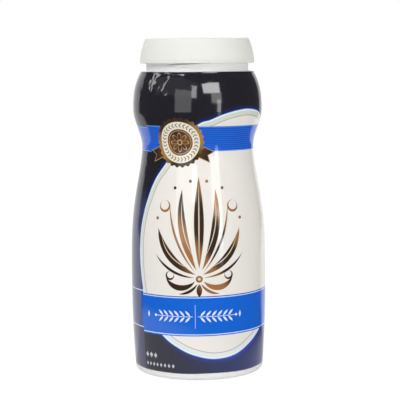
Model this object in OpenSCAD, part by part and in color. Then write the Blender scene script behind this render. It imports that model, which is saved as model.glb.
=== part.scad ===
// Plastic canister for pouring sugar: an hourglass blow-moulded bottle in a printed shrink sleeve,
// closed by a smooth screw cap with a D-shaped pour flap on a living hinge.
// Millimetres. +Z is up, the front of the print faces -Y, and the origin is the middle of the base.

/* [Body] */
// Outside diameter at the foot
foot_d = 73.8; // [62:0.1:91]
// Largest outside diameter, low on the body
belly_d = 77.8; // [64:0.1:94]
// Height of the largest diameter above the base
belly_h = 52; // [40:1:80]
// Outside diameter at the waist
waist_d = 64.2; // [54:0.1:79]
// Height of the waist above the largest diameter
flank_h = 77.5; // [50:0.5:90]
// Outside diameter of the upper bulge
bulge_d = 74.0; // [62:0.1:90]
// Height of the upper bulge above the waist
bulge_h = 21; // [18:0.5:32]
// Height of the shoulder's edge above the upper bulge
shoulder_h = 20.9; // [14:0.1:24]
// Step from the shoulder's edge in to the neck
shoulder_w = 3.5; // [3.2:0.1:6]
// Wall thickness of the blown body
wall = 1.0; // [0.6:0.1:1.4]
// Radius of the corner round the foot
foot_corner = 2.4; // [1.8:0.1:3.5]
// Width of the ring that the bottle stands on
ring_w = 3.2; // [2:0.1:8]
// Height of the pushed-up middle of the base
push_up = 3.4; // [1:0.1:6]
// Thickness of the base
base_t = 1.3; // [1:0.1:2.5]

/* [Neck] */
// Diameter of the plain neck between the threads
neck_d = 58.2; // [49:0.1:71]
// Wall thickness of the neck
neck_wall = 1.5; // [1.2:0.1:2.5]
// Height of the neck above the shoulder's edge
neck_h = 15.4; // [14.4:0.1:20]
// Radius of the fillet at the foot of the neck
neck_fillet = 0.7; // [0.6:0.1:2]
// How far the neck thread stands out
thread_h = 1.3; // [0.9:0.1:1.5]
// Rise of the thread in one full turn
lead = 8.47; // [7:0.01:11]
// Number of separate threads round the neck
starts = 2; // [1:1:2]
// Height of the neck thread's lower end above the shoulder's edge
thread_z = 3.3; // [2.4:0.1:3.4]
// Direction of the neck thread's lower end, from the +X axis
thread_angle = -129; // [-180:1:180]

/* [Shrink sleeve] */
// Thickness of the film
film_t = 0.2; // [0.1:0.05:0.4]
// Height of the film's lower edge above the base
sleeve_z = 4.0; // [3.6:0.1:8]

/* [Cap] */
// Height of the cap, from its lower edge to the deck
cap_h = 13.9; // [13:0.1:16.5]
// Wall outside the threads
cap_wall = 1.9; // [1.3:0.1:2.5]
// Wall at the top edge, outside the throat that the neck's lip fits in
cap_top_wall = 0.5; // [0.5:0.1:1.5]
// Height of the straight band at the foot of the cap
band_h = 1.9; // [1.8:0.1:5]
// Radius of the edge round the deck
cap_corner = 1.0; // [0.4:0.1:1.2]
// Thickness of the deck, and of the floor under the flap
deck_t = 1.2; // [0.9:0.1:1.6]
// Thickness of the foam seal ring
seal_t = 1.0; // [0.5:0.1:1.5]

/* [Flap] */
// Direction that the flap's free edge faces, from the +X axis
flap_angle = 25; // [0:1:90]
// Distance of the hinge line from the cap's axis
hinge_x = 3.0; // [0:0.1:6]
// Thickness of the flap
flap_t = 1.2; // [1:0.1:1.6]
// Width of the rim round the flap's pocket
rim_w = 2.3; // [1.9:0.1:4]
// Half the angle that the thumb lip covers
lip_half = 20; // [12:1:30]
// How far the thumb lip rises above the deck
lip_rise = 0.6; // [0.4:0.1:1]
// Width of the ledge from the pocket's wall to the pour opening
ledge_w = 4.5; // [4:0.1:8]
// Distance of the opening's straight side from the hinge line
pour_gap = 4.5; // [3:0.1:8]
// Thickness of the plug wall under the flap
plug_t = 1.0; // [0.7:0.1:1.5]
// How far the plug reaches past the floor of the pocket
plug_depth = 0.8; // [0.3:0.1:0.9]
// Thickness of the hinge film
web_t = 0.35; // [0.2:0.05:0.5]

/* [Fits] */
// Air between the film and the bottle
film_gap = 0.02; // [0.01:0.01:0.1]
// Clearance between the two threads, and between neck and cap
thread_gap = 0.3; // [0.2:0.05:0.4]
// Clearance round the flap
flap_gap = 0.3; // [0.2:0.05:0.5]
// Air between the flap and the floor of its pocket
seat_gap = 0.2; // [0.1:0.05:0.3]
// Clearance round the plug in the pour opening
plug_gap = 0.35; // [0.3:0.05:0.5]

/* [Hidden] */
$fn = 96;
eps = 0.01;

bottle_white = "#f2f2ef";
print_navy = "#1f2340";
foam_white = "#e9e9e4";
cap_white = "#eeeeea";

// Steps of the body's outline along its height, and of its small arcs
outline_step = 3;
arc_step = 15;
// Above 1, the flank turns in nearer the waist than the belly
flank_bias = 1.85;
// Above 2, the shoulder stays full and turns in near its edge
shoulder_bias = 2.6;
shoulder_corner = 0.6;
land_edge = 0.4;

waist_z = belly_h + flank_h;
bulge_z = waist_z + bulge_h;
shoulder_z = bulge_z + shoulder_h;
neck_r = neck_d / 2;
bore_r = neck_r - neck_wall;
shoulder_r = neck_r + shoulder_w;
land_z = shoulder_z + neck_h;
// From the sleeved surface in to the bottle's own
skin = film_t + film_gap;

// Levels of the cap, from the top of the neck upwards
floor_z = land_z + seal_t;
pocket_z = floor_z + deck_t;
flap_z = pocket_z + seat_gap;
deck_z = flap_z + flap_t;
cap_z = deck_z - cap_h;
// Throat under the deck, and the cone that widens it to the threads
throat_r = neck_r + thread_gap;
throat_z = floor_z - 4.6;
throat_cone = 2.4;
cap_bore_r = neck_r + thread_h + thread_gap;
cap_r = cap_bore_r + cap_wall;
cap_top_r = throat_r + cap_top_wall;
// Fine line round the band, and the bevel of its lower edge
groove_z = 1.3;
groove_w = 0.4;
groove_d = 0.15;
cap_bevel = 0.3;
// Above 1, the cap's side bulges out between its top edge and the band
side_bias = 1.6;

// Thread sections, as widths at root and crest. The cap's ridge runs just under the neck's.
neck_ridge = [2.2, 1.0];
cap_ridge = [1.5, 0.7];
ridge_step = 10;
ridge_fade = 20;
ridge_bite = 0.45;
flank_drop = (neck_ridge[0] + neck_ridge[1] + cap_ridge[0] + cap_ridge[1]) / 4 + thread_gap;
neck_thread_z = shoulder_z + thread_z;
neck_thread_top = throat_z - neck_ridge[1];
cap_thread_low = cap_z + 1.1;
cap_thread_top = throat_z - cap_ridge[0];
cap_crest_r = neck_r + thread_gap + 0.2;

// The hinge film is flush with the deck. Flutes of one radius round its middle leave it thin.
hinge_z = deck_z - web_t / 2;
flute_r = 0.8;
web_half = sqrt(pow(flute_r, 2) - pow(web_t / 2, 2));
// Air at each end of the film
web_end = 1.5;
d_corner = 2.0;
pocket_r = cap_top_r - rim_w;
plate_r = pocket_r - flap_gap;
pour_r = pocket_r - ledge_w;
lip_r = cap_top_r - 0.1;
// Step in the wall under the lip for a fingertip, and how much narrower than the lip it is
finger_h = 0.9;
finger_w = 0.9;
finger_side = 4;
core_inset = 1.5;
through = 1;

// 0 to 1 with a level start and end
function ease(t) = t * t * (3 - 2 * t);

// Outside radius of the sleeved body at height z
function body_r(z) =
    z < belly_h
        ? (belly_d - (belly_d - foot_d) * pow(1 - z / belly_h, 2)) / 2
    : z < waist_z
        ? (belly_d - (belly_d - waist_d) * ease(pow((z - belly_h) / flank_h, flank_bias))) / 2
    : z < bulge_z
        ? (waist_d + (bulge_d - waist_d) * ease((z - waist_z) / bulge_h)) / 2
    : bulge_d / 2 - (bulge_d / 2 - shoulder_r) * pow((z - bulge_z) / shoulder_h, shoulder_bias);

// Body outline between two heights, drawn in by t from the sleeved surface. The stations inside
// the range are the same for every piece, so that film and bottle lie parallel.
function flank(t, from, to) =
    let (
        n = ceil((shoulder_z - foot_corner) / outline_step),
        between = [for (i = [1:n - 1]) foot_corner + (shoulder_z - foot_corner) * i / n],
        inner = [for (z = between) if (z > from + eps && z < to - eps) z]
    )
    [for (z = concat([from], inner, [to])) [body_r(z) - t, z]];

// Points of an arc round c, from angle a to angle b
function arc(c, r, a, b) =
    let (n = ceil(abs(b - a) / arc_step))
    [for (i = [0:n]) c + r * [cos(a + (b - a) * i / n), sin(a + (b - a) * i / n)]];

// Outline of the pushed-up base from its middle out to radius r, at height z there
function dish(r, z) = [for (i = [0:8]) [r * i / 8, z + push_up * (1 - pow(i / 8, 2))]];

// Outline of the bottle's outside, from the foot up to the lip of the neck
function outside() =
    let (
        foot_r = body_r(foot_corner) - skin - foot_corner,
        edge_r = shoulder_r - skin - shoulder_corner,
        fillet_z = shoulder_z + shoulder_corner + neck_fillet
    )
    concat(
        arc([foot_r, foot_corner], foot_corner, -90, -arc_step),
        flank(skin, foot_corner, shoulder_z),
        arc([edge_r, shoulder_z], shoulder_corner, arc_step, 90),
        arc([neck_r + neck_fillet, fillet_z], neck_fillet, 270, 180),
        [[neck_r, land_z - land_edge], [neck_r - land_edge, land_z], [0, land_z]]
    );

// Outline of the hollow, from the base up through the neck
function inside() =
    let (
        t = skin + wall,
        corner = foot_corner - wall,
        corner_z = base_t + corner,
        ceiling_z = shoulder_z + shoulder_corner - wall
    )
    concat(
        arc([body_r(corner_z) - t - corner, corner_z], corner, -90, -arc_step),
        flank(t, corner_z, ceiling_z - wall),
        [[bore_r, ceiling_z + neck_fillet], [bore_r, land_z + through], [0, land_z + through]]
    );

// Outline in plan of a D with rounded corners: its straight side at x, its round side of radius r
function d_outline(r, x) =
    let (
        c = d_corner,
        y = sqrt(pow(r - c, 2) - pow(x + c, 2)),
        a = atan2(y, x + c),
        n = 36,
        m = 6
    )
    concat(
        [for (i = [0:n]) let (b = a * (2 * i / n - 1)) r * [cos(b), sin(b)]],
        [for (i = [1:m]) let (b = a + (180 - a) * i / m) [x + c, y] + c * [cos(b), sin(b)]],
        [for (i = [0:m - 1]) let (b = 180 + (180 - a) * i / m) [x + c, -y] + c * [cos(b), sin(b)]]
    );

// Half the length of a D's straight side, between its rounded corners
function d_half(r, x) = sqrt(pow(r - d_corner, 2) - pow(x + d_corner, 2));

// Turn from the neck thread's lower end at which its helix reaches height z
function turn_at(z) = (z - neck_thread_z) / lead * 360;

// A plate with a D outline between two heights
module d_plate(r, x, z0, z1) {
    translate([0, 0, z0]) linear_extrude(z1 - z0) polygon(d_outline(r, x));
}

// A ring sector of the outline given, half an angle to each side of the +X axis
module sector(half, outline) {
    rotate([0, 0, -half]) rotate_extrude(angle = 2 * half) polygon(outline);
}

// Corners of a rectangle from [r0, z0] to [r1, z1]
function rect(r0, z0, r1, z1) = [[r0, z0], [r1, z0], [r1, z1], [r0, z1]];

// A helical ridge with the section [root width, crest width]. It is sunk past root_r, stands out
// to crest_r, and fades into the wall at both ends. z is the height of its helix at turn 0.
module ridge(root_r, crest_r, section, z, from, to) {
    out = sign(crest_r - root_r);
    sunk = root_r - out * ridge_bite;
    n = ceil((to - from) / ridge_step);
    rings = [for (i = [0:n])
        let (
            turn = from + (to - from) * i / n,
            full = min(1, (turn - from) / ridge_fade, (to - turn) / ridge_fade),
            top = (root_r - out * ridge_bite / 2) * (1 - full) + crest_r * full,
            a = turn + thread_angle,
            h = z + lead * turn / 360
        )
        for (p = [
            [sunk, -section[0] / 2], [top, -section[1] / 2],
            [top, section[1] / 2], [sunk, section[0] / 2]
        ])
            [p[0] * cos(a), p[0] * sin(a), h + p[1]]];
    sides = [for (i = [0:n - 1], j = [0:3])
        let (a = 4 * i + j, b = 4 * i + (j + 1) % 4)
        each [[a, b, b + 4], [a, b + 4, a + 4]]];
    ends = [[0, 2, 1], [0, 3, 2], [4 * n, 4 * n + 1, 4 * n + 2], [4 * n, 4 * n + 2, 4 * n + 3]];
    faces = concat(sides, ends);
    polyhedron(rings, out > 0 ? faces : [for (f = faces) [f[2], f[1], f[0]]]);
}

// Each thread, repeated evenly round the axis
module threads() {
    for (s = [0:starts - 1])
        rotate([0, 0, s * 360 / starts]) children();
}

// Turned so that +X points from the hinge line to the flap's free edge
module on_flap_side() {
    rotate([0, 0, flap_angle]) children();
}

// The round bar whose removal leaves a flute on each side of the hinge line
module flute() {
    translate([hinge_x, pocket_r, hinge_z]) rotate([90, 0, 0]) cylinder(r = flute_r, h = 2 * pocket_r);
}

module bottle() {
    ring_in_r = foot_d / 2 - skin - foot_corner - ring_w;
    color(bottle_white) difference() {
        union() {
            rotate_extrude() polygon(concat(dish(ring_in_r, 0), outside()));
            threads() ridge(neck_r, neck_r + thread_h, neck_ridge, neck_thread_z,
                0, turn_at(neck_thread_top));
        }
        rotate_extrude() polygon(concat(dish(ring_in_r - wall, base_t), inside()));
    }
}

module shrink_sleeve() {
    inner = flank(film_t, sleeve_z, shoulder_z);
    color(print_navy) rotate_extrude() polygon(concat(
        flank(0, sleeve_z, shoulder_z),
        [for (i = [len(inner) - 1:-1:0]) inner[i]]
    ));
}

module seal_ring() {
    edge_gap = 0.1;
    lap = 0.4;
    color(foam_white) translate([0, 0, land_z]) difference() {
        cylinder(r = throat_r - edge_gap, h = seal_t);
        translate([0, 0, -through]) cylinder(r = bore_r - lap, h = seal_t + 2 * through);
    }
}

// Outline of the cap, down its outside and up its inside
function cap_section() =
    let (
        corner_z = deck_z - cap_corner,
        band_z = cap_z + band_h,
        line_z = cap_z + groove_z,
        n = 20
    )
    concat(
        [[0, deck_z]],
        arc([cap_top_r - cap_corner, corner_z], cap_corner, 90, 0),
        [for (i = [1:n])
            let (drawn_in = (cap_r - cap_top_r) * pow(1 - i / n, side_bias))
            [cap_r - drawn_in, corner_z + (band_z - corner_z) * i / n]],
        [[cap_r, line_z + groove_w / 2], [cap_r - groove_d, line_z], [cap_r, line_z - groove_w / 2]],
        [[cap_r, cap_z + cap_bevel], [cap_r - cap_bevel, cap_z], [cap_bore_r, cap_z]],
        [[cap_bore_r, throat_z], [throat_r, throat_z + throat_cone], [throat_r, floor_z], [0, floor_z]]
    );

module cap_shell() {
    notch_half = lip_half + atan(flap_gap / lip_r);
    past_r = cap_r + through;
    color(cap_white) difference() {
        union() {
            rotate_extrude() polygon(cap_section());
            threads() ridge(cap_bore_r, cap_crest_r, cap_ridge, neck_thread_z - flank_drop,
                turn_at(cap_thread_low + flank_drop), turn_at(cap_thread_top + flank_drop));
        }
        on_flap_side() {
            // Pocket for the flap, and the notch in the rim for its lip
            d_plate(pocket_r, hinge_x, pocket_z, deck_z + through);
            sector(notch_half, rect(pocket_r - through, pocket_z, past_r, deck_z + through));
            // Step in the wall under the lip
            sector(lip_half - finger_side,
                rect(lip_r - finger_w, pocket_z - finger_h, past_r, pocket_z + through));
            flute();
            // Opening that the sugar pours through
            d_plate(pour_r, hinge_x + pour_gap, floor_z - through, pocket_z + through);
            // Hollow under the fixed half of the deck
            mirror([1, 0, 0])
                d_plate(bore_r - core_inset, deck_t - hinge_x, floor_z - through, deck_z - deck_t);
        }
    }
}

module living_hinge() {
    half = d_half(pocket_r, hinge_x) - web_end;
    color(cap_white) on_flap_side()
        translate([hinge_x - web_half, -half, deck_z - web_t]) cube([2 * web_half, 2 * half, web_t]);
}

// Section of the thumb lip, which curls up at the rim
function lip_section() = [
    [plate_r - 4, flap_z], [lip_r - 0.4, flap_z], [lip_r, flap_z + 0.4],
    [lip_r, deck_z + lip_rise - 0.3], [lip_r - 0.3, deck_z + lip_rise],
    [lip_r - 0.9, deck_z + lip_rise], [plate_r - 0.8, deck_z + lip_rise / 3],
    [plate_r - 3, deck_z], [plate_r - 4, deck_z - 0.2]
];

module flap() {
    plug_r = pour_r - plug_gap;
    plug_x = hinge_x + pour_gap + plug_gap;
    plug_z = floor_z - plug_depth;
    color(cap_white) on_flap_side() difference() {
        union() {
            d_plate(plate_r, hinge_x + flap_gap, flap_z, deck_z);
            sector(lip_half, lip_section());
            difference() {
                d_plate(plug_r, plug_x, plug_z, flap_z + flap_t / 2);
                d_plate(plug_r - plug_t, plug_x + plug_t, plug_z - through, flap_z);
            }
        }
        flute();
    }
}

bottle();
shrink_sleeve();
seal_ring();
cap_shell();
living_hinge();
flap();
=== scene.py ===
"""A sugar canister with a flap cap: its looks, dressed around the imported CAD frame.

Metres, in the frame of the CAD part: +Z is up, the front of the print faces -Y, and the origin is
the middle of the base. Azimuths are counted from the front, in degrees, and grow to the right.
"""

import bmesh
import bpy
import numpy as np
from mathutils import Matrix, Vector


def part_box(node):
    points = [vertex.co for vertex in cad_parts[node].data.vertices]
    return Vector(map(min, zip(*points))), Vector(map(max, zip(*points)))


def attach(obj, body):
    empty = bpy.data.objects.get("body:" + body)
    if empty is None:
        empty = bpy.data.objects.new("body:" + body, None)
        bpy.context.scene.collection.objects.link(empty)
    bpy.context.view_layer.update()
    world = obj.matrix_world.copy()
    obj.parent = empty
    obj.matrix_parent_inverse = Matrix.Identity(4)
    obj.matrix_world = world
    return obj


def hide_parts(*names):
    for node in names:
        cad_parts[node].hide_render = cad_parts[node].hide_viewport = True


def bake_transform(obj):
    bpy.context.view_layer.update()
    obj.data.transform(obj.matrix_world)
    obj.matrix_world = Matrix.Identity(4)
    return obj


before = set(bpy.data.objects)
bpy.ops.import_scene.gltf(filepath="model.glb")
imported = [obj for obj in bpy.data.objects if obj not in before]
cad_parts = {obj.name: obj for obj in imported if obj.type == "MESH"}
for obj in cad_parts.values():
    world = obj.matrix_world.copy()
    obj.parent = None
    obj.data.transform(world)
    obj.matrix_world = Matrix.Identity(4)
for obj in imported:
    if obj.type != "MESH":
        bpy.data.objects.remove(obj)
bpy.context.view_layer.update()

# Bottle. Blow-moulded white polyethylene: an hourglass body on a standing ring, a pushed-up base
# with its pinch-off seam, and a neck with a two-start thread. The mould parts along X.
mm = 0.001
sleeve_low, sleeve_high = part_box("shrink_sleeve")
bottle_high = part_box("bottle")[1]

foot_d = 73.8 * mm
belly_d = sleeve_high.x - sleeve_low.x
belly_z = 52 * mm
waist_d = 64.2 * mm
waist_z = 129.5 * mm
bulge_d = 74.0 * mm
bulge_z = 150.5 * mm
shoulder_z = sleeve_high.z
shoulder_r = 32.6 * mm
flank_bias = 1.85
shoulder_bias = 2.6
skin = 0.22 * mm
wall = 1.0 * mm
foot_corner = 2.4 * mm
ring_w = 3.2 * mm
push_up = 3.4 * mm
base_t = 1.3 * mm
shoulder_corner = 0.6 * mm
neck_fillet = 0.7 * mm
neck_clear = 1.4 * mm
flat_end = 0.3 * mm
neck_r = 29.1 * mm
bore_r = 27.6 * mm
land_z = bottle_high.z
land_edge = 0.4 * mm

thread_h = 1.3 * mm
thread_lead = 8.47 * mm
thread_low = shoulder_z + 3.3 * mm
thread_turn = 318.8
thread_starts = (-129, 51)
thread_root = 1.1 * mm
thread_crest = 0.5 * mm
thread_fade = 24

parting_body, parting_neck = 0.015 * mm, 0.06 * mm
parting_flat, parting_side = 0.15, 0.5
pinch_depth = 0.35 * mm
pinch_flat, pinch_side = 0.1 * mm, 0.7 * mm
pinch_end, pinch_gone = 24 * mm, 27 * mm
dish_r = 30 * mm


def ease(t):
    """t * t * (3 - 2t): from 0 to 1 with a level start and end."""
    return t * t * (3 - 2 * t)


def step_up(x, low, high):
    """0 below low, 1 above high, eased in between."""
    return ease(np.clip((x - low) / (high - low), 0, 1))


def body_radius(z):
    """Radius of the sleeved body at height z: a parabola up to the belly, an eased fall to the
    waist, an eased rise to the bulge, and a power curve in to the shoulder's edge."""
    below = belly_d - (belly_d - foot_d) * (1 - z / belly_z) ** 2
    fall = np.clip((z - belly_z) / (waist_z - belly_z), 0, 1) ** flank_bias
    rise = np.clip((z - waist_z) / (bulge_z - waist_z), 0, 1)
    over = np.clip((z - bulge_z) / (shoulder_z - bulge_z), 0, 2) ** shoulder_bias
    return np.select(
        [z < belly_z, z < waist_z, z < bulge_z],
        [below / 2, (belly_d - (belly_d - waist_d) * ease(fall)) / 2,
         (waist_d + (bulge_d - waist_d) * ease(rise)) / 2],
        bulge_d / 2 - (bulge_d / 2 - shoulder_r) * over)


def arc(centre, radius, start, end, steps):
    """Points of a circle's arc in the (radius, height) plane, from start to end in degrees."""
    a = np.radians(np.linspace(start, end, steps))
    return np.stack([centre[0] + radius * np.cos(a), centre[1] + radius * np.sin(a)], axis=1)


def flank(inset, low, high, steps):
    """Points of the body's outline between two heights, drawn in by inset."""
    z = np.linspace(low, high, steps)
    return np.stack([body_radius(z) - inset, z], axis=1)


def dish(radius, z, steps):
    """The pushed-up base from its middle out to radius: z + push_up * (1 - (r / radius)^2)."""
    r = np.linspace(0, radius, steps)
    return np.stack([r, z + push_up * (1 - (r / radius) ** 2)], axis=1)


def add_object(name, points, faces):
    """A smooth mesh object from an array of points and lists of faces."""
    mesh = bpy.data.meshes.new(name)
    mesh.from_pydata(points.reshape(-1, 3), [], faces)
    mesh.shade_smooth()
    thing = bpy.data.objects.new(name, mesh)
    bpy.context.scene.collection.objects.link(thing)
    return thing


def grid_faces(rows, columns, closed=False, first=0, flip=False):
    """Quads between neighbouring points of a (rows, columns) grid whose numbers start at first.
    The last column meets the first one if closed, and flip turns the faces over."""
    down = np.arange(rows - 1)[:, None] * columns
    across = np.arange(columns if closed else columns - 1)
    beside = (across + 1) % columns
    corners = [down + across, down + beside, down + beside + columns, down + across + columns]
    quads = np.stack(corners, axis=-1).reshape(-1, 4) + first
    return quads[:, ::-1] if flip else quads


def merge_poles(thing):
    """Joins the points that lie on each other, as those of a row on the axis do."""
    mesh = bmesh.new()
    mesh.from_mesh(thing.data)
    bmesh.ops.remove_doubles(mesh, verts=mesh.verts, dist=0.002 * mm)
    mesh.to_mesh(thing.data)
    mesh.free()


def thread_height(around, z):
    """How far the thread stands out at an angle from +X and a height. Each start's centre climbs
    lead * turn / 360 from its lower end; the ridge is an eased slope from its crest to its root,
    and fades at both ends."""
    height = np.zeros(np.broadcast(around, z).shape)
    for start in thread_starts:
        turn = (around - start) % 360
        off = np.abs(z - thread_low - thread_lead * turn / 360)
        ridge = 1 - step_up(off, thread_crest, thread_root)
        fade = step_up(np.minimum(turn, thread_turn - turn), 0, thread_fade)
        height = np.maximum(height, thread_h * ridge * fade)
    return height


def bottle_outlines():
    """The skin in the (radius, height) plane as two rows of points: from the middle of the base up
    the outside to the lip of the neck, and from the lip down the inside to the middle."""
    foot_r = float(body_radius(foot_corner)) - skin - foot_corner
    ring_in = foot_r - ring_w
    edge_r = shoulder_r - skin - shoulder_corner
    fillet = (neck_r + neck_fillet, shoulder_z + shoulder_corner + neck_fillet)
    inset = skin + wall
    inner_corner = foot_corner - wall
    corner_z = base_t + inner_corner
    ceiling = shoulder_z + shoulder_corner - wall
    outside = np.concatenate([
        dish(ring_in, 0, 28),
        np.linspace((ring_in + flat_end, 0), (foot_r - flat_end, 0), 3),
        arc((foot_r, foot_corner), foot_corner, -90, -4, 9),
        flank(skin, foot_corner, shoulder_z, 90),
        arc((edge_r, shoulder_z), shoulder_corner, 8, 90, 8),
        arc(fillet, neck_fillet, 270, 180, 9),
        np.linspace((neck_r, fillet[1] + 0.1 * mm), (neck_r, land_z - land_edge), 76),
        arc((neck_r - land_edge, land_z - land_edge), land_edge, 15, 90, 4)])
    inside = np.concatenate([
        arc((bore_r + land_edge, land_z - land_edge), land_edge, 90, 180, 4),
        np.linspace((bore_r, land_z - 1 * mm), (bore_r, ceiling + neck_fillet), 6),
        flank(inset, corner_z, ceiling - wall, 50)[::-1],
        arc((float(body_radius(corner_z)) - inset - inner_corner, corner_z), inner_corner, -8, -90, 6),
        dish(ring_in - wall, base_t, 16)[::-1]])
    return outside, inside


def make_bottle():
    """The outline carried round the axis. The thread, the parting line and the pinch-off seam are
    added to its outside as functions of angle, radius and height."""
    out_rows, in_rows = bottle_outlines()
    outline = np.concatenate([out_rows, in_rows])
    seam_offsets = np.array([-0.9, -0.45, -0.2, 0, 0.2, 0.45, 0.9])
    around = np.unique(np.concatenate(
        [np.arange(0, 360, 1.6)] + [(mould + seam_offsets) % 360 for mould in (0, 180)]).round(4))
    r = np.repeat(outline[:, :1], len(around), axis=1)
    z = np.repeat(outline[:, 1:], len(around), axis=1)
    outside = (np.arange(len(outline)) < len(out_rows))[:, None]
    on_neck = outside & (z > shoulder_z + neck_clear) & (z < land_z - land_edge)
    r = r + np.where(on_neck, thread_height(around[None, :], z), 0)
    from_parting = np.abs((around + 90) % 180 - 90)[None, :]
    parting_h = np.where(z > shoulder_z, parting_neck, parting_body)
    parting = parting_h * (1 - step_up(from_parting, parting_flat, parting_side))
    r = r + np.where(outside & (z > foot_corner), parting, 0)
    a = np.radians(around)[None, :]
    x, y = r * np.cos(a), r * np.sin(a)
    pinch = pinch_depth * (1 - step_up(np.abs(y), pinch_flat, pinch_side))
    pinch = pinch * (1 - step_up(np.abs(x), pinch_end, pinch_gone))
    z = z - np.where(outside & (z < push_up + 0.1 * mm) & (r < dish_r), pinch, 0)
    points = np.stack([x, y, z], axis=-1)
    faces = grid_faces(len(outline), len(around), closed=True).tolist()
    thing = add_object("bottle_blown", points, faces)
    merge_poles(thing)
    return thing


def shader(name):
    """A new material, its node tree and its one Principled BSDF."""
    material = bpy.data.materials.new(name)
    material.use_nodes = True
    tree = material.node_tree
    return material, tree, tree.nodes["Principled BSDF"]


def add_node(tree, kind, inputs=(), **settings):
    """A node of a kind, with its settings and its inputs: a socket is linked, anything else is
    set as the input's value."""
    node = tree.nodes.new("ShaderNode" + kind)
    for key, value in settings.items():
        setattr(node, key, value)
    for key, value in dict(inputs).items():
        if isinstance(value, bpy.types.NodeSocket):
            tree.links.new(value, node.inputs[key])
        else:
            node.inputs[key].default_value = value
    return node


def chip(red, green, blue):
    """A colour chip read as 8-bit sRGB, as linear light: ((c + 0.055) / 1.055)^2.4."""
    c = np.array([red, green, blue]) / 255
    c = np.where(c <= 0.04045, c / 12.92, ((c + 0.055) / 1.055) ** 2.4)
    return (*c.tolist(), 1.0)


def moulded_plastic(name, light, dark, roughness, grain, grain_depth):
    """Milky moulded plastic: a faint mottle between two near whites, a fine surface grain and a
    little light let in under the surface."""
    material, tree, plastic = shader(name)
    place = add_node(tree, "TexCoord").outputs["Object"]
    mottle = add_node(tree, "TexNoise", {"Vector": place, "Scale": 90.0, "Detail": 3.0})
    tones = {"Factor": mottle.outputs["Fac"], "A": light, "B": dark}
    tone = add_node(tree, "Mix", tones, data_type="RGBA")
    fine = add_node(tree, "TexNoise", {"Vector": place, "Scale": grain, "Detail": 2.0}).outputs["Fac"]
    span = {"Value": fine, "To Min": roughness - 0.05, "To Max": roughness + 0.07}
    gloss = add_node(tree, "MapRange", span)
    relief = add_node(tree, "Bump", {"Height": fine, "Distance": grain_depth, "Strength": 0.6})
    tree.links.new(tone.outputs["Result"], plastic.inputs["Base Color"])
    tree.links.new(gloss.outputs["Result"], plastic.inputs["Roughness"])
    tree.links.new(relief.outputs["Normal"], plastic.inputs["Normal"])
    plastic.inputs["Specular IOR Level"].default_value = 0.3
    plastic.inputs["Subsurface Weight"].default_value = 0.15
    plastic.inputs["Subsurface Radius"].default_value = (0.002, 0.0018, 0.0015)
    plastic.inputs["Subsurface Scale"].default_value = 1.0
    return material


bottle = make_bottle()
bottle.data.materials.append(moulded_plastic(
    "milky_polyethylene", chip(240, 240, 239), chip(234, 234, 233), 0.50, 2600.0, 0.02 * mm))
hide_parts("bottle")
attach(bottle, "bottle")

# Shrink sleeve. Clear film printed on its inner face, slipped over the bottle as a tube and shrunk
# in a heat tunnel. Its edge is lapped over itself down the left of the front, and it is crinkled
# where it shrank most, at the shoulder and the waist.
film_t = 0.08 * mm
film_clear = 0.10 * mm
corner_turn = np.radians(38)
lap_at = -54.0
lap_width = 7.0
film_span = 360 + lap_width
body_rows, corner_rows, film_columns = 181, 9, 320
front_weight, front_middle, front_edges = 1.4, 5, (60, 95)
edge_weight, edge_width = 6, 1.2
lap_gap, lap_fall = 0.01 * mm, 1.6
foot_wave, foot_ripple = 0.16 * mm, 0.10 * mm
corner_waver = 0.12
deepest_dent = 0.08 * mm
crease_width, mm_per_degree = 0.8, 0.6


def film_stations():
    """Angles round the strip from its free edge, closer together at the front of the print."""
    t = np.linspace(0, film_span, 4001)
    from_front = np.abs((t + lap_at - front_middle + 180) % 360 - 180)
    density = 1 + front_weight * (1 - step_up(from_front, *front_edges))
    near_edge = 1 + edge_weight * (1 - step_up(np.minimum(t, np.abs(t - lap_width)), 0, edge_width))
    length = np.concatenate([[0], np.cumsum((density * near_edge)[1:])])
    return np.interp(np.linspace(0, length[-1], film_columns), length, t)


def crinkles(azimuth, z):
    """Height of the film's creases: a sum of short curved folds, each a narrow bell across its
    line, scattered by a seeded draw over the places where the film shrank most. A place is a
    count, two azimuths, two heights in mm, two lengths in mm and the highest fold in mm."""
    draw = np.random.default_rng(11)
    height = np.zeros(np.broadcast(azimuth, z).shape)
    places = [
        (60, (-62, -24), (157, 170), (1.0, 2.6), 0.14),
        (22, (-20, 70), (163, 170), (0.8, 2.2), 0.04),
        (26, (-80, -46), (108, 124), (1.2, 3.0), 0.08),
        (90, (75, 280), (152, 170), (1.2, 3.4), 0.08),
        (60, (75, 280), (110, 126), (1.2, 3.0), 0.06),
        (16, (-64, -34), (127, 141), (1.6, 3.6), 0.10),
    ]
    for count, sides, levels, lengths, highest in places:
        for _ in range(count):
            side, level = draw.uniform(*sides), draw.uniform(*levels)
            long, slant = draw.uniform(*lengths), draw.uniform(-1.1, 1.1)
            bend, sign = draw.uniform(-0.25, 0.25), draw.choice([-1, 1, 1])
            x = ((azimuth - side + 180) % 360 - 180) * mm_per_degree
            y = z / mm - level
            along = x * np.cos(slant) + y * np.sin(slant)
            across = y * np.cos(slant) - x * np.sin(slant) - bend * along ** 2
            fold = np.exp(-(along / long) ** 2 - (across / crease_width) ** 2)
            height = height + sign * highest * mm * fold * draw.uniform(0.3, 1)
    return height


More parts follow.
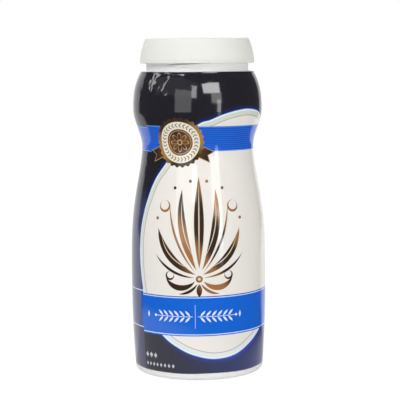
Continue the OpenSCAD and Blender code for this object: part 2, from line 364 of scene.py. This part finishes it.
def film_surface(inset, stations, share):
    """The strip at an inset from its outer face: up the body, then round the shoulder's corner.
    Its free edge lies on top of the lap, and it drops by its own thickness where the lap ends."""
    t = stations[None, :]
    azimuth = t + lap_at
    wave = np.radians(azimuth)
    low = sleeve_low.z + foot_wave * np.sin(3 * wave + 1) + foot_ripple * np.sin(7 * wave)
    climb = low + (shoulder_z - low) * np.clip(share, 0, 1)[:, None]
    corner_r = shoulder_corner + skin - film_clear
    over = corner_turn * np.clip(share - 1, 0, 1)[:, None] * (1 + corner_waver * np.sin(4 * wave))
    on_lap = (film_t + lap_gap) * (1 - step_up(t, lap_width, lap_width + lap_fall))
    folds = crinkles(azimuth, climb)
    proud = np.maximum(folds, -deepest_dent) + on_lap - inset
    r = body_radius(climb) - film_clear - corner_r + (corner_r + proud) * np.cos(over)
    z = climb + (corner_r + proud) * np.sin(over)
    return np.stack([r * np.sin(wave), -r * np.cos(wave), z], axis=-1), azimuth + 0 * z, z


print_scale = 0.65
belly_skew, waist_skew = 2.0, -1.0
skew_low, skew_high = 60 * mm, 115 * mm
repeat = 360 * print_scale
outline_steps = 8
map_margin, map_width = 0.002, 0.996
inner_map_h, outer_map_low, outer_map_h = 0.14, 0.158, 0.84
panel_outline = [
    (-20.8, 121.8), (-28.5, 112.0), (-33.4, 99.9), (-36.5, 87.9), (-37.7, 77.0), (-37.4, 63.4),
    (-34.8, 47.9), (-28.5, 34), (-19.8, 24.3), (-10.9, 18.3), (-2.4, 14.5), (8.6, 12.2),
    (20.7, 13.6), (31.7, 18.9), (41.3, 25.2), (49, 31.5), (56, 42), (64, 60), (68, 80), (69, 100),
    (66, 121.2), (60, 136.2), (52, 145.5), (43.6, 149.8), (31.9, 151.3), (22.1, 150.3), (14, 148.2),
    (7.2, 145.5), (0.9, 143.4), (-11, 134.3)]


def closed_curve(points, steps):
    """A closed curve through the points, the Catmull-Rom way: each stretch is a cubic whose slope
    at a point is half the step between that point's neighbours."""
    p = np.array(points, float)
    before, after, beyond = np.roll(p, 1, axis=0), np.roll(p, -1, axis=0), np.roll(p, -2, axis=0)
    t = (np.arange(steps) / steps)[None, :, None]
    start_slope, end_slope = (after - before)[:, None] / 2, (beyond - p)[:, None] / 2
    curve = (p[:, None] * (1 - ease(t)) + after[:, None] * ease(t)
             + start_slope * t * (1 - t) ** 2 - end_slope * t ** 2 * (1 - t))
    return curve.reshape(-1, 2)


def outline_distance(points, outline):
    """Distance of each point from a closed outline, negative inside: the nearest of its straight
    pieces, and a point is inside if it sees an odd number of them to its right."""
    nearest = np.full(len(points), np.inf)
    inside = np.zeros(len(points), bool)
    for a, b in zip(outline, np.roll(outline, -1, axis=0)):
        along = b - a
        share = np.clip((points - a) @ along / (along @ along), 0, 1)
        nearest = np.minimum(nearest, np.hypot(*(points - a - share[:, None] * along).T))
        level = (a[1] > points[:, 1]) != (b[1] > points[:, 1])
        rise = along[1] if along[1] else 1.0
        inside ^= level & (points[:, 0] < a[0] + along[0] * (points[:, 1] - a[1]) / rise)
    return np.where(inside, -nearest, nearest)


def film_faces(rows, inner_rows, columns):
    """Faces of the strip as two lists. The first has the outer sheet, then the inner one, whose
    points come after. The second closes the strip: quads between the sheets at the bottom and the
    top, and at each end three triangles to an inner step, which spans two outer ones."""
    first = rows * columns
    across = np.arange(columns - 1)
    top, inner_top = (rows - 1) * columns, first + (inner_rows - 1) * columns
    rims = [
        np.stack([first + across, first + across + 1, across + 1, across], axis=1),
        np.stack([top + across, top + across + 1, inner_top + across + 1, inner_top + across], axis=1)]
    edges = np.concatenate(rims).tolist()
    for column in (0, columns - 1):
        i = np.arange(rows - 1)
        j = np.arange(inner_rows - 1)
        low = first + j * columns + column
        fan = np.stack([first + (i // 2) * columns + column, i * columns + column,
                        (i + 1) * columns + column], axis=1)
        last = np.stack([low, (2 * j + 2) * columns + column, low + columns], axis=1)
        side = np.concatenate([fan, last])
        edges += (side[:, ::-1] if column == 0 else side).tolist()
    sheets = [grid_faces(rows, columns), grid_faces(inner_rows, columns, first=first, flip=True)]
    return np.concatenate(sheets).tolist(), edges


def map_film(thing, azimuth, height, sheet_faces):
    """Lays three maps on the film from the azimuths and heights of its outer points. The print's
    is in millimetres: azimuth * print_scale across, and upwards the height less skew * turns from
    the lap. The unrolled one keeps the sheets apart. The last is the distance from the panel."""
    number = np.arange(azimuth.size)
    own = np.concatenate([number, number.reshape(azimuth.shape)[::2].ravel()])
    arc_mm = azimuth * print_scale
    skew = belly_skew + (waist_skew - belly_skew) * step_up(height, skew_low, skew_high)
    print_mm = height / mm - skew * (azimuth - lap_at) / 360
    printed = np.stack([arc_mm, print_mm], axis=-1).reshape(-1, 2)[own]
    unrolled = np.stack([azimuth - lap_at, height - height.min()], axis=-1).reshape(-1, 2)
    unrolled = unrolled / unrolled.max(axis=0)
    outer_part = unrolled * [map_width, outer_map_h] + [map_margin, outer_map_low]
    inner_part = (unrolled * [map_width, inner_map_h] + map_margin)[own[azimuth.size:]]
    map_of_sheets = np.concatenate([outer_part, inner_part])
    map_of_rims = outer_part[own]
    corner = np.empty(len(thing.data.loops), np.int32)
    thing.data.loops.foreach_get("vertex_index", corner)
    on_rim = np.arange(len(corner)) >= 4 * sheet_faces
    unroll = np.where(on_rim[:, None], map_of_rims[corner], map_of_sheets[corner])
    for name, places in (("OFBake", unroll), ("print", printed[corner])):
        layer = thing.data.uv_layers.new(name=name)
        layer.data.foreach_set("uv", places.astype(np.float32).ravel())
    outline = closed_curve(panel_outline, outline_steps)
    behind = outline_distance(printed - [repeat, 0], outline)
    distance = np.minimum(outline_distance(printed, outline), behind)
    thing.data.attributes.new("panel_distance", "FLOAT", "POINT").data.foreach_set(
        "value", distance.astype(np.float32))


def make_sleeve():
    """The strip's outer sheet on a grid of stations round it and shares of its height, its inner
    sheet on every other row of that grid, and the faces that join the two all round."""
    stations = film_stations()
    share = np.concatenate([
        np.linspace(0, 1, body_rows)[:-1], 1 + np.linspace(0, 1, corner_rows)])
    outer, azimuth, height = film_surface(0, stations, share)
    inner = film_surface(film_t, stations, share[::2])[0]
    sheets, edges = film_faces(len(share), len(share[::2]), len(stations))
    points = np.concatenate([outer.reshape(-1, 3), inner.reshape(-1, 3)])
    thing = add_object("printed_sleeve", points, sheets + edges)
    map_film(thing, azimuth, height, len(sheets))
    return thing


class Field:
    """A number at every point of a surface, worked out by the material's nodes, that is added to
    and multiplied like a plain number."""

    def __init__(self, tree, socket):
        self.tree = tree
        self.socket = socket

    def work(self, operation, *others, clamp=False):
        """The result of a Math node on this field and others, which are fields or numbers."""
        node = self.tree.nodes.new("ShaderNodeMath")
        node.operation = operation
        node.use_clamp = clamp
        for place, value in enumerate((self, *others)):
            if isinstance(value, Field):
                self.tree.links.new(value.socket, node.inputs[place])
            else:
                node.inputs[place].default_value = value
        return Field(self.tree, node.outputs[0])

    def __add__(self, other):
        return self.work("ADD", other)

    def __sub__(self, other):
        return self.work("SUBTRACT", other)

    def __mul__(self, other):
        return self.work("MULTIPLY", other)

    def __neg__(self):
        return self * -1.0

    def __abs__(self):
        return self.work("ABSOLUTE")

    def rise(self, low, high):
        """0 below low, 1 above high, eased in between; turned over if low is the higher one."""
        ends = {"Value": self.socket, "From Min": low, "From Max": high}
        node = add_node(self.tree, "MapRange", ends, interpolation_type="SMOOTHSTEP")
        return Field(self.tree, node.outputs["Result"])


def both(a, b):
    """Signed distance from what lies in both shapes."""
    return a.work("MAXIMUM", b)


def either(*shapes):
    """Signed distance from what lies in any of the shapes."""
    whole = shapes[0]
    for shape in shapes[1:]:
        whole = whole.work("MINIMUM", shape)
    return whole


def away(at, x, y):
    """Distance from a point of the print; at is a pair of fields."""
    place = add_node(at[0].tree, "CombineXYZ", {"X": at[0].socket, "Y": at[1].socket})
    spot = add_node(at[0].tree, "VectorMath", {0: place.outputs[0], 1: (x, y, 0)}, operation="DISTANCE")
    return Field(at[0].tree, spot.outputs["Value"])


def blade(at, root, tip, near, far):
    """Signed distance from a leaf between two arcs that share its root and tip. near and far are
    the arcs' rises to the left of the chord. An arc of chord c and rise h has the radius
    (c^2 / 4 + h^2) / 2h; the leaf lies in the far disc, and in the near one or out of it."""
    root, tip = np.array(root, float), np.array(tip, float)
    chord = np.hypot(*(tip - root))
    left = np.array([root[1] - tip[1], tip[0] - root[0]]) / chord
    discs = []
    for rise in (far, near):
        radius = (chord ** 2 / 4 + rise ** 2) / (2 * abs(rise))
        centre = (root + tip) / 2 + left * np.sign(rise) * (abs(rise) - radius)
        discs.append(away(at, *centre.tolist()) - radius)
    return both(discs[0], -discs[1] if near * far > 0 else discs[1])


def hoop(at, centre, radius, thick, toward):
    """Signed distance from a round stroke that is thickest toward one direction and thins to
    nothing at the opposite side: a disc less a smaller one that touches its rim there."""
    a = np.radians(toward)
    inner = np.array(centre) - np.array([np.cos(a), np.sin(a)]) * thick / 2
    hole = away(at, *inner.tolist()) - (radius - thick / 2)
    return both(away(at, *centre) - radius, -hole)


def ink(distance, soft=0.09):
    """Share of ink at a signed distance: 1 inside, 0 outside, in a straight fall over the edge."""
    return distance.work("MULTIPLY_ADD", -0.5 / soft, 0.5, clamp=True)


def lay(under, over, share):
    """One ink printed over another. Each colour is a socket or a plain colour."""
    inks = {"Factor": share.socket, "A": under, "B": over}
    return add_node(share.tree, "Mix", inks, data_type="RGBA").outputs["Result"]


def painted_sheen_and_shade(u):
    """Share of the strip that runs along the film's lap, on its hidden side: there the print is greyed
    by a painted reflection and dulled by painted shade.
    """
    return u.rise(166, 184)


def print_ground(u, v, panel):
    """Navy that turns bluer at the lower right, a blue glow along the panel's edge, and the cream
    panel with its pale outer ring, its white rim and its fine inner line."""
    ring_width, line_width, rim_width = 3.3, 0.36, 0.7
    glow_width, halo_width = 3.2, 0.35
    round_front = u.rise(95, 75)
    low_right = u.rise(-24, 46) * v.rise(48, 20) * round_front
    colour = lay(chip(31, 29, 37), chip(29, 31, 46), v.rise(60, 30))
    colour = lay(colour, chip(22, 40, 106), low_right)
    # Painted reflection: a greyish lilac laid over the navy along the lap strip, in its lower part.
    colour = lay(colour, chip(62, 62, 96), painted_sheen_and_shade(u) * v.rise(112, 90))
    right_glow = u.rise(-20, 30) * round_front * v.rise(125, 60)
    colour = lay(colour, chip(12, 62, 190), panel.rise(glow_width, 0) * (right_glow * 0.6 + 0.22))
    colour = lay(colour, chip(96, 146, 226), ink(panel - halo_width))
    ring = lay(chip(226, 231, 230), chip(214, 220, 204), v.rise(45, 120))
    colour = lay(colour, chip(240, 243, 247), ink(panel))
    colour = lay(colour, ring, ink(panel + rim_width, 0.3))
    colour = lay(colour, chip(236, 232, 225), ink(panel + ring_width))
    inner_line = ink(abs(panel + ring_width) - line_width / 2)
    return lay(colour, chip(150, 156, 138), inner_line)


def print_bands(colour, u, v):
    """The pinstriped band round the waist, and the plain band round the belly with a white line
    just inside each edge."""
    upper, lower = (128.2, 142.2), (25.3, 47.9)
    pitch, stripe, selvedge = 1.15, 0.34, 0.45
    line_in, line_half = 0.85, 0.24
    middle, half = sum(upper) / 2, (upper[1] - upper[0]) / 2
    from_middle = abs(v - middle)
    in_cell = abs((v - upper[0]).work("FLOORED_MODULO", pitch) - pitch / 2)
    blue = lay(chip(14, 84, 200), chip(58, 126, 226), ink(in_cell - stripe / 2, 0.12) * 0.75)
    blue = lay(blue, chip(112, 158, 236), ink(-(from_middle - half + selvedge)) * 0.8)
    colour = lay(colour, blue, ink(from_middle - half))
    middle, half = sum(lower) / 2, (lower[1] - lower[0]) / 2
    from_middle = abs(v - middle)
    # Painted shade: the belly band turns a dull dark blue along the lap strip.
    blue = lay(chip(14, 100, 212), chip(52, 62, 112), painted_sheen_and_shade(u) * u.rise(201, 194))
    colour = lay(colour, blue, ink(from_middle - half))
    white_line = ink(abs(from_middle - half + line_in) - line_half)
    return lay(colour, chip(214, 230, 250), white_line)


def print_palmette(colour, u, v):
    """A generic leaf ornament in bronze: blades that fan out of a foot, some filled and some in
    outline, with curling leaves below and beads between. It is the same on both sides."""
    at = (abs(u - 0.4), v - 81.5)
    heart, bead_r = (0, -24.0), 0.9
    fan = either(
        blade(at, (0, -18), (0, 33), -2.7, 2.7),
        blade(at, (9.8, 26), (1.6, -19), 0.9, 5.4),
        blade(at, (16.8, 18.0), (2.2, -20.2), 2.4, 3.7),
        blade(at, (23.5, 4), (2.0, -21.5), 2.0, 6.4),
        blade(at, (25, -10.5), (2.4, -23.2), 2.2, 3.7),
        blade(at, (2.4, -25.2), (18.4, -23.4), -3.0, -6.2),
        blade(at, (1.0, -26.6), (11.2, -32.4), -0.8, -2.4),
        blade(at, (0, -26.8), (0, -34), -1.5, 1.5),
        hoop(at, (19.9, 16.4), 3.4, 1.4, 250),
        hoop(at, (16.2, -22.3), 2.5, 1.2, 300),
        away(at, 4.9, 30.4) - bead_r,
        away(at, 14.2, 26.6) - bead_r,
        away(at, 24.4, 9.6) - bead_r,
        away(at, *heart) - 1.9)
    veins = either(
        blade(at, (0, -14), (0, 29), -0.32, 0.32),
        blade(at, (9.3, 21.5), (2.3, -13), 2.6, 3.1),
        blade(at, (21.2, 0), (4.2, -18), 3.4, 3.9),
        away(at, *heart) - 0.8)
    shine = (u * 0.17 + v * 0.12).work("SINE") * 0.5 + 0.5
    bronze = lay(chip(58, 40, 28), chip(160, 112, 66), shine.rise(0.25, 0.95))
    colour = lay(colour, bronze, ink(fan))
    return lay(colour, chip(226, 214, 192), ink(veins))


def print_seal(colour, u, v):
    """A generic round seal on two ribbon tails: a scalloped bronze disc, a cream ring with a rope
    of slanting marks, and a brown middle with an eight-petalled flower."""
    seal_u, seal_v, drawn_in = -11.5, 133.2, 0.883
    foil_r, cream_r, rope_r, middle_r = 13.6, 11.5, 9.5, 7.4
    tail_half, tail_end, hem = 3.4, 17.6, 0.4
    lobes, petals, marks = 26, 4, 30
    x, y = (u - seal_u) * drawn_in, v - seal_v
    slant = np.radians(24)
    side = abs(x)
    along = side * np.cos(slant) - y * np.sin(slant)
    across = abs(side * np.sin(slant) + y * np.cos(slant))
    tail = both(across - tail_half, along - tail_end - across * 0.8)
    tail_brown = lay(chip(86, 58, 36), chip(48, 34, 26), along.rise(12, 19))
    colour = lay(colour, chip(176, 140, 84), ink(tail))
    colour = lay(colour, tail_brown, ink(tail + hem))
    r = away((x, y), 0, 0)
    turn = y.work("ARCTAN2", x)
    foil = (turn * 2 + 0.9).work("SINE") * 0.5 + 0.5
    bronze = lay(chip(62, 44, 28), chip(168, 128, 66), foil.rise(0.3, 1.0))
    scallop = r - (turn * lobes).work("COSINE") * 0.45
    colour = lay(colour, bronze, ink(scallop - foil_r))
    colour = lay(colour, chip(232, 224, 208), ink(r - cream_r))
    rope = (turn * marks + abs(r - rope_r) * 2.4).work("SINE")
    in_rope = ink(abs(r - rope_r) - 1.15, 0.15)
    colour = lay(colour, chip(96, 78, 60), rope.rise(0.15, 0.75) * in_rope * 0.85)
    colour = lay(colour, lay(chip(64, 44, 32), chip(112, 76, 46), foil), ink(r - middle_r))
    petal = r - abs((turn * petals).work("COSINE")) * 3.3 - 1.9
    flower = either(abs(petal) - 0.24, abs(r - 1.3) - 0.3, abs(r - 6.5) - 0.16)
    return lay(colour, chip(204, 164, 116), ink(flower))


def lozenges(u, v, row, start, end, step, half_w, half_h):
    """Signed distance from a row of lozenges: (|x| / half width + |y| / half height - 1) of the
    nearest one, as a length."""
    x = abs((u - start).work("FLOORED_MODULO", step) - step / 2) * (1 / half_w)
    y = abs(v - row) * (1 / half_h)
    shape = (x + y - 1.0) * (0.7 * half_w)
    return both(shape, abs(u - (start + end) / 2) - (end - start) / 2)


def print_ornaments(colour, u, v):
    """White trim on the belly band: a leafy branch to each side of a thin upright line, with a
    lozenge beyond each end. Two rows of small pale lozenges stand near the foot."""
    trim_white, foot_grey = chip(222, 234, 250), chip(206, 210, 214)
    middle_u, middle_v = -1.9, 36.4
    run, cell, line_half = 18.6, 3.1, 0.16
    x, y = abs(u - middle_u) - 2.6, abs(v - middle_v)
    leaf = blade((x.work("FLOORED_MODULO", cell), y), (0.15, 0.2), (2.85, 3.3), -0.55, 0.55)
    in_run = abs(x - run / 2) - run / 2
    stem = both(y - line_half, in_run - 1.2)
    berry = away((x, y), run + 1.9, 0) - 0.75
    branch = either(both(leaf, in_run), stem, berry)
    upright = both(abs(u - middle_u) - line_half, abs(v - middle_v) - 6.6)
    ends = either(lozenges(u, v, 36.6, -31.3, -29.1, 2.2, 0.75, 1.9),
                  lozenges(u, v, 36.6, 22.6, 24.8, 2.2, 0.75, 1.9))
    colour = lay(colour, trim_white, ink(either(branch, ends)))
    colour = lay(colour, trim_white, ink(upright) * 0.6)
    rows = either(lozenges(u, v, 12.9, -34.4, -24.8, 3.2, 1.2, 1.6),
                  lozenges(u, v, 7.7, -34.4, -13.6, 2.6, 0.8, 1.2))
    return lay(colour, foot_grey, ink(rows) * 0.9)


def printed_film():
    """Glossy clear film over the inks: a low roughness with slight streaks, and a faint ripple."""
    material, tree, film = shader("printed_gloss_film")
    printed = add_node(tree, "UVMap", uv_map="print").outputs[0]
    parts = add_node(tree, "SeparateXYZ", {"Vector": printed})
    u, v = Field(tree, parts.outputs["X"]), Field(tree, parts.outputs["Y"])
    panel = Field(tree, add_node(tree, "Attribute", attribute_name="panel_distance").outputs["Fac"])
    colour = print_ground(u, v, panel)
    colour = print_bands(colour, u, v)
    colour = print_palmette(colour, u, v)
    colour = print_seal(colour, u, v)
    colour = print_ornaments(colour, u, v)
    tree.links.new(colour, film.inputs["Base Color"])
    film.inputs["IOR"].default_value = 1.6
    place = add_node(tree, "TexCoord").outputs["Object"]
    ripple = add_node(tree, "TexNoise", {"Vector": place, "Scale": 150.0, "Detail": 2.0})
    streaks = add_node(tree, "TexNoise", {"Vector": place, "Scale": 45.0, "Detail": 4.0})
    span = {"Value": streaks.outputs["Fac"], "To Min": 0.05, "To Max": 0.11}
    gloss = add_node(tree, "MapRange", span)
    waves = {"Height": ripple.outputs["Fac"], "Distance": 0.05 * mm, "Strength": 0.6}
    relief = add_node(tree, "Bump", waves)
    tree.links.new(gloss.outputs["Result"], film.inputs["Roughness"])
    tree.links.new(relief.outputs["Normal"], film.inputs["Normal"])
    return material


sleeve = make_sleeve()
sleeve.data.materials.append(printed_film())
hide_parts("shrink_sleeve")
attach(sleeve, "bottle")

# Seal ring. A flat ring of fine closed-cell foam, punched from sheet and pressed into the cap,
# where it closes on the land of the neck.
def refinish(name, material):
    """Keeps a piece's CAD shape and gives it a material in place of its plain one."""
    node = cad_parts[name]
    node.data.materials.clear()
    node.data.materials.append(material)


foam = moulded_plastic(
    "closed_cell_foam", chip(234, 234, 229), chip(222, 222, 216), 0.8, 1400.0, 0.08 * mm)
refinish("seal_ring", foam)

# Cap shell. Injection-moulded white polypropylene with a fine satin skin and a flat deck, screwed
# on the neck. The flap and its hinge film are moulded with it.
satin = moulded_plastic(
    "satin_polypropylene", chip(231, 231, 225), chip(226, 226, 220), 0.58, 3200.0, 0.015 * mm)
refinish("cap_shell", satin)

# Living hinge. The film of the same moulding that is left between two flutes under the deck. It
# thickens towards both flutes.
deck_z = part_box("cap_shell")[1].z
hinge_side = np.radians(25)
hinge_x = 3.0 * mm
web_t = 0.35 * mm
web_half = 0.78 * mm
web_length = 47.2 * mm
web_root = 0.12 * mm
web_sink = 0.01 * mm
end_draw = 0.5 * mm


def make_hinge_film():
    """A strip along the hinge line, flush with the deck. Its underside hangs by web_t, and by
    web_root more where it meets the plastic on each side. Its ends are drawn in and rounded."""
    across_steps, along_steps = 25, 61
    across = np.linspace(-1, 1, across_steps)[:, None]
    along = np.linspace(-1, 1, along_steps)[None, :]
    end_round = end_draw * step_up(np.abs(across), 0.2, 1.0) * np.sign(along)
    x = hinge_x + web_half * across + 0 * along
    y = web_length / 2 * along - end_round * step_up(np.abs(along), 0.9, 1.0)
    deep = web_t + web_root * step_up(np.abs(across), 0.45, 1.0) + 0 * along
    turned_x = x * np.cos(hinge_side) - y * np.sin(hinge_side)
    turned_y = x * np.sin(hinge_side) + y * np.cos(hinge_side)
    top = np.stack([turned_x, turned_y, deck_z - web_sink + 0 * x], axis=-1).reshape(-1, 3)
    under = np.stack([turned_x, turned_y, deck_z - deep], axis=-1).reshape(-1, 3)
    count = across_steps * along_steps
    number = np.arange(count).reshape(across_steps, along_steps)
    rim = np.concatenate([number[0, :-1], number[:-1, -1], number[-1, :0:-1], number[:0:-1, 0]])
    beyond = np.roll(rim, -1)
    wall_faces = np.stack([rim, beyond, beyond + count, rim + count], axis=1)
    sheets = [grid_faces(across_steps, along_steps, flip=True),
              grid_faces(across_steps, along_steps, first=count)]
    faces = np.concatenate(sheets + [wall_faces[:, ::-1]]).tolist()
    thing = add_object("hinge_film", np.concatenate([top, under]), faces)
    mesh = bmesh.new()
    mesh.from_mesh(thing.data)
    bmesh.ops.recalc_face_normals(mesh, faces=mesh.faces)
    mesh.to_mesh(thing.data)
    mesh.free()
    return thing


hinge_film = make_hinge_film()
hinge_film.data.materials.append(satin)
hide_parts("living_hinge")
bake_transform(hinge_film)

# Flap. The D-shaped lid of the pour opening, of the cap's own plastic and moulded open with it.
# It has a thumb lip at the rim and a plug wall below.
refinish("flap", satin)

# Studio. A white floor before a white backdrop, which reaches farther round on the left. The room
# is dim around the camera, and its soft fill grows overhead. One lamp stands high on the left and
# one low on the right; cards that only the glossy film mirrors stand for windows and pale walls.
dim, low_fill, high_fill = 0.09, 0.40, 0.73
sky_edge = (0.1, 0.55)
floor_half = 2.5
floor_seen, floor_share = 1.1, 0.85
backdrop_lean, backdrop_edge = 0.16, (0.68, 0.80)
# A painted pool of light on the floor round the canister's foot, seen only by glossy rays: its centre,
# its full and its outer radius, and its level.
painted_pool_centre, painted_pool_radii, painted_pool_level = (-0.055, 0.017, 0), (0.12, 0.19), 0.75
far_floor, far_reach = (1.4, 0.2), 0.26
lamp_aim = Vector((0, 0, 0.095))


def backdrop(tree, direction, reach):
    """How light the room is toward a direction: white behind the canister, dim elsewhere. Reach
    brings the white farther round to the front."""
    parts = add_node(tree, "SeparateXYZ", {0: direction})
    behind = Field(tree, parts.outputs["Y"]) - Field(tree, parts.outputs["X"]) * backdrop_lean
    return (behind + reach).rise(*backdrop_edge) * (1 - dim) + dim


def ray_kinds(tree):
    """1 for camera or see-through rays, and 1 for glossy rays, as two fields."""
    rays = add_node(tree, "LightPath").outputs
    camera_ray = Field(tree, rays["Is Camera Ray"])
    clear_ray = Field(tree, rays["Is Transmission Ray"])
    return camera_ray.work("MAXIMUM", clear_ray), Field(tree, rays["Is Glossy Ray"])


corners = np.array([[-1, -1, 0], [1, -1, 0], [1, 1, 0], [-1, 1, 0]]) * floor_half
floor = add_object("studio_floor", corners, [[0, 1, 2, 3]])
material, tree, paper = shader("white_sweep")
paper.inputs["Base Color"].default_value = (0.85, 0.85, 0.85, 1)
paper.inputs["Roughness"].default_value = 0.9
seen, glossy_ray = ray_kinds(tree)
place = add_node(tree, "TexCoord").outputs["Object"]
outward = add_node(tree, "VectorMath", {0: place}, operation="NORMALIZE").outputs["Vector"]
distance = Field(tree, add_node(tree, "VectorMath", {0: place}, operation="LENGTH").outputs["Value"])
from_spot = add_node(tree, "VectorMath", {0: place, 1: painted_pool_centre}, operation="DISTANCE")
# Painted pool of light: the floor near the foot glows for glossy rays, over the mirrored backdrop.
near = Field(tree, from_spot.outputs["Value"]).rise(painted_pool_radii[1], painted_pool_radii[0]) * painted_pool_level
mirrored = backdrop(tree, outward, distance.rise(*far_floor) * far_reach).work("MAXIMUM", near)
strength = seen * floor_seen + (-seen + 1.0) * mirrored
glow = add_node(tree, "Emission", {"Color": (1, 1, 1, 1), "Strength": strength.socket})
share = seen * floor_share + (-seen + 1.0) * glossy_ray
mixed = add_node(tree, "MixShader", {0: share.socket, 1: paper.outputs[0], 2: glow.outputs[0]})
tree.links.new(mixed.outputs[0], tree.nodes["Material Output"].inputs["Surface"])
floor.data.materials.append(material)

world = bpy.data.worlds.new("studio_surround")
bpy.context.scene.world = world
world.use_nodes = True
tree = world.node_tree
seen, glossy_ray = ray_kinds(tree)
direction = add_node(tree, "TexCoord").outputs["Generated"]
room = backdrop(tree, direction, 0.0)
height = Field(tree, add_node(tree, "SeparateXYZ", {0: direction}).outputs["Z"])
fill = height.rise(*sky_edge) * (high_fill - low_fill) + low_fill
level = (room - fill) * glossy_ray + fill
level = (-level + 1.0) * seen + level
surround = tree.nodes["Background"]
surround.inputs["Color"].default_value = (1, 1, 1, 1)
tree.links.new(level.socket, surround.inputs["Strength"])


def soft_box(name, azimuth, elevation, distance, width, height, strength, mirrored=True):
    """A rectangular lamp that faces the middle of the canister from a direction. Its face would
    show at strength in a mirror, where 1 is white. It is a card that only glossy surfaces show,
    or else a lamp that they don't."""
    a, e = np.radians(azimuth), np.radians(elevation)
    outward = Vector((np.sin(a) * np.cos(e), -np.cos(a) * np.cos(e), np.sin(e)))
    lamp = bpy.data.lights.new(name, "AREA")
    lamp.shape = "RECTANGLE"
    lamp.size = width
    lamp.size_y = height
    lamp.energy = strength * width * height * np.pi
    thing = bpy.data.objects.new(name, lamp)
    thing.location = lamp_aim + outward * distance
    thing.rotation_euler = outward.to_track_quat("Z", "Y").to_euler()
    thing.visible_camera = False
    thing.visible_diffuse = not mirrored
    thing.visible_glossy = mirrored
    bpy.context.scene.collection.objects.link(thing)


soft_box("key_left", -40, 40, 2.4, 0.96, 0.90, 7.5, mirrored=False)
soft_box("fill_right", 38, 3, 1.4, 1.05, 0.32, 4.2, mirrored=False)
soft_box("window", 26, 28, 1.2, 0.60, 0.36, 8.4)
soft_box("window_side", 34, 13, 1.2, 0.38, 0.30, 2.6)
soft_box("window_foot", 38, 2, 1.2, 0.14, 0.30, 4.2)
soft_box("window_glow", 38, -7, 0.5, 0.05, 0.10, 1.6)
soft_box("panel", -25, 10, 1.2, 0.62, 0.62, 1.4)
soft_box("panel_edge", -6, 22, 1.2, 0.18, 0.42, 4.6)
soft_box("skylight", -48, 55, 1.2, 0.40, 0.20, 8.0)
soft_box("left_pane", -95, 31, 1.2, 0.20, 0.60, 4.5)
soft_box("left_post", -67, 31, 1.2, 0.14, 0.60, 4.5)
soft_box("left_wall", -42, 30, 1.5, 2.2, 0.8, 0.22)

# Camera. It stands 0.77 m in front of the canister, a little lower than the top of the cap, looks
# six degrees down and leans a little, with the photograph's field of view.
eye = Vector((1.1, -770, 178.7)) * mm
pitch = np.radians(6.0)
roll = np.radians(-0.4)
focal_px = 1339
photo_px = 400
sensor = 36
forward = Vector((0, np.cos(pitch), -np.sin(pitch)))
level_x = Vector((1, 0, 0))
upright = level_x.cross(forward)
right = level_x * np.cos(roll) + upright * np.sin(roll)
up = upright * np.cos(roll) - level_x * np.sin(roll)
camera = bpy.data.objects.new("camera", bpy.data.cameras.new("camera"))
camera.data.sensor_width = sensor
camera.data.lens = focal_px / photo_px * sensor
camera.data.clip_start = 0.01
camera.data.clip_end = 50
camera.matrix_world = Matrix.Translation(eye) @ Matrix((right, up, -forward)).transposed().to_4x4()
bpy.context.scene.collection.objects.link(camera)
bpy.context.scene.camera = camera
bpy.context.scene.view_settings.view_transform = "Standard"
